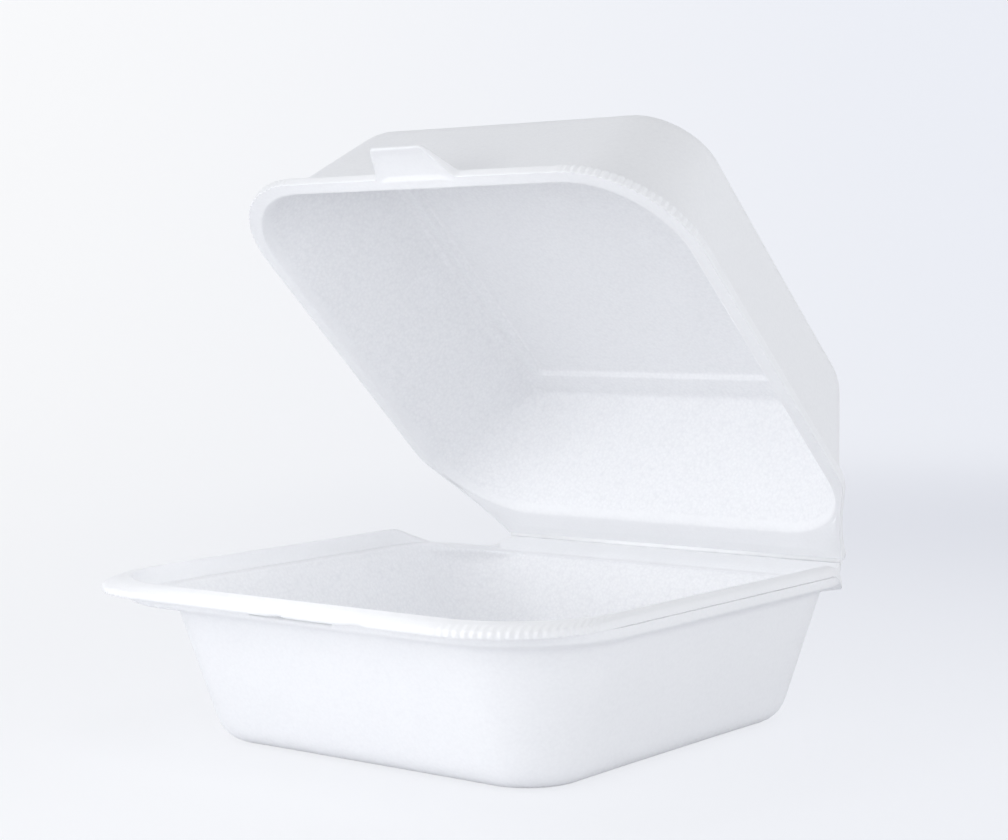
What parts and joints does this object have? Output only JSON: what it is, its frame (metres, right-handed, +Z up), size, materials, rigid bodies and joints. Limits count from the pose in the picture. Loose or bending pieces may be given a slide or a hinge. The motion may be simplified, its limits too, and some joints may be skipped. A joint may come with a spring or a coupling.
{
  "type": "foam clamshell food container",
  "caption": "Square white foam food box with a deep domed lid hinged on a thin crease, a nesting rim and a front latch tab, shown half open.",
  "frame": {"origin": "centre of the tray's underside, on the table", "axes": "+X along the crease to the right, -Y towards the latch at the front, +Z up"},
  "size_m": [0.15, 0.1707, 0.1573],
  "materials": {
    "foam": "white closed-cell foam sheet with a faint bead texture"
  },
  "bodies": {
    "tray": {"base_tray": "foam"},
    "lid": {"lid": "foam"}
  },
  "joints": [
    {"name": "lid_crease", "type": "hinge", "parent": "tray", "child": "lid", "pos_m": [0, 0.0755, 0.03905], "axis": [-1, 0, 0], "range_deg": [-43.5, 132.5]}
  ]
}
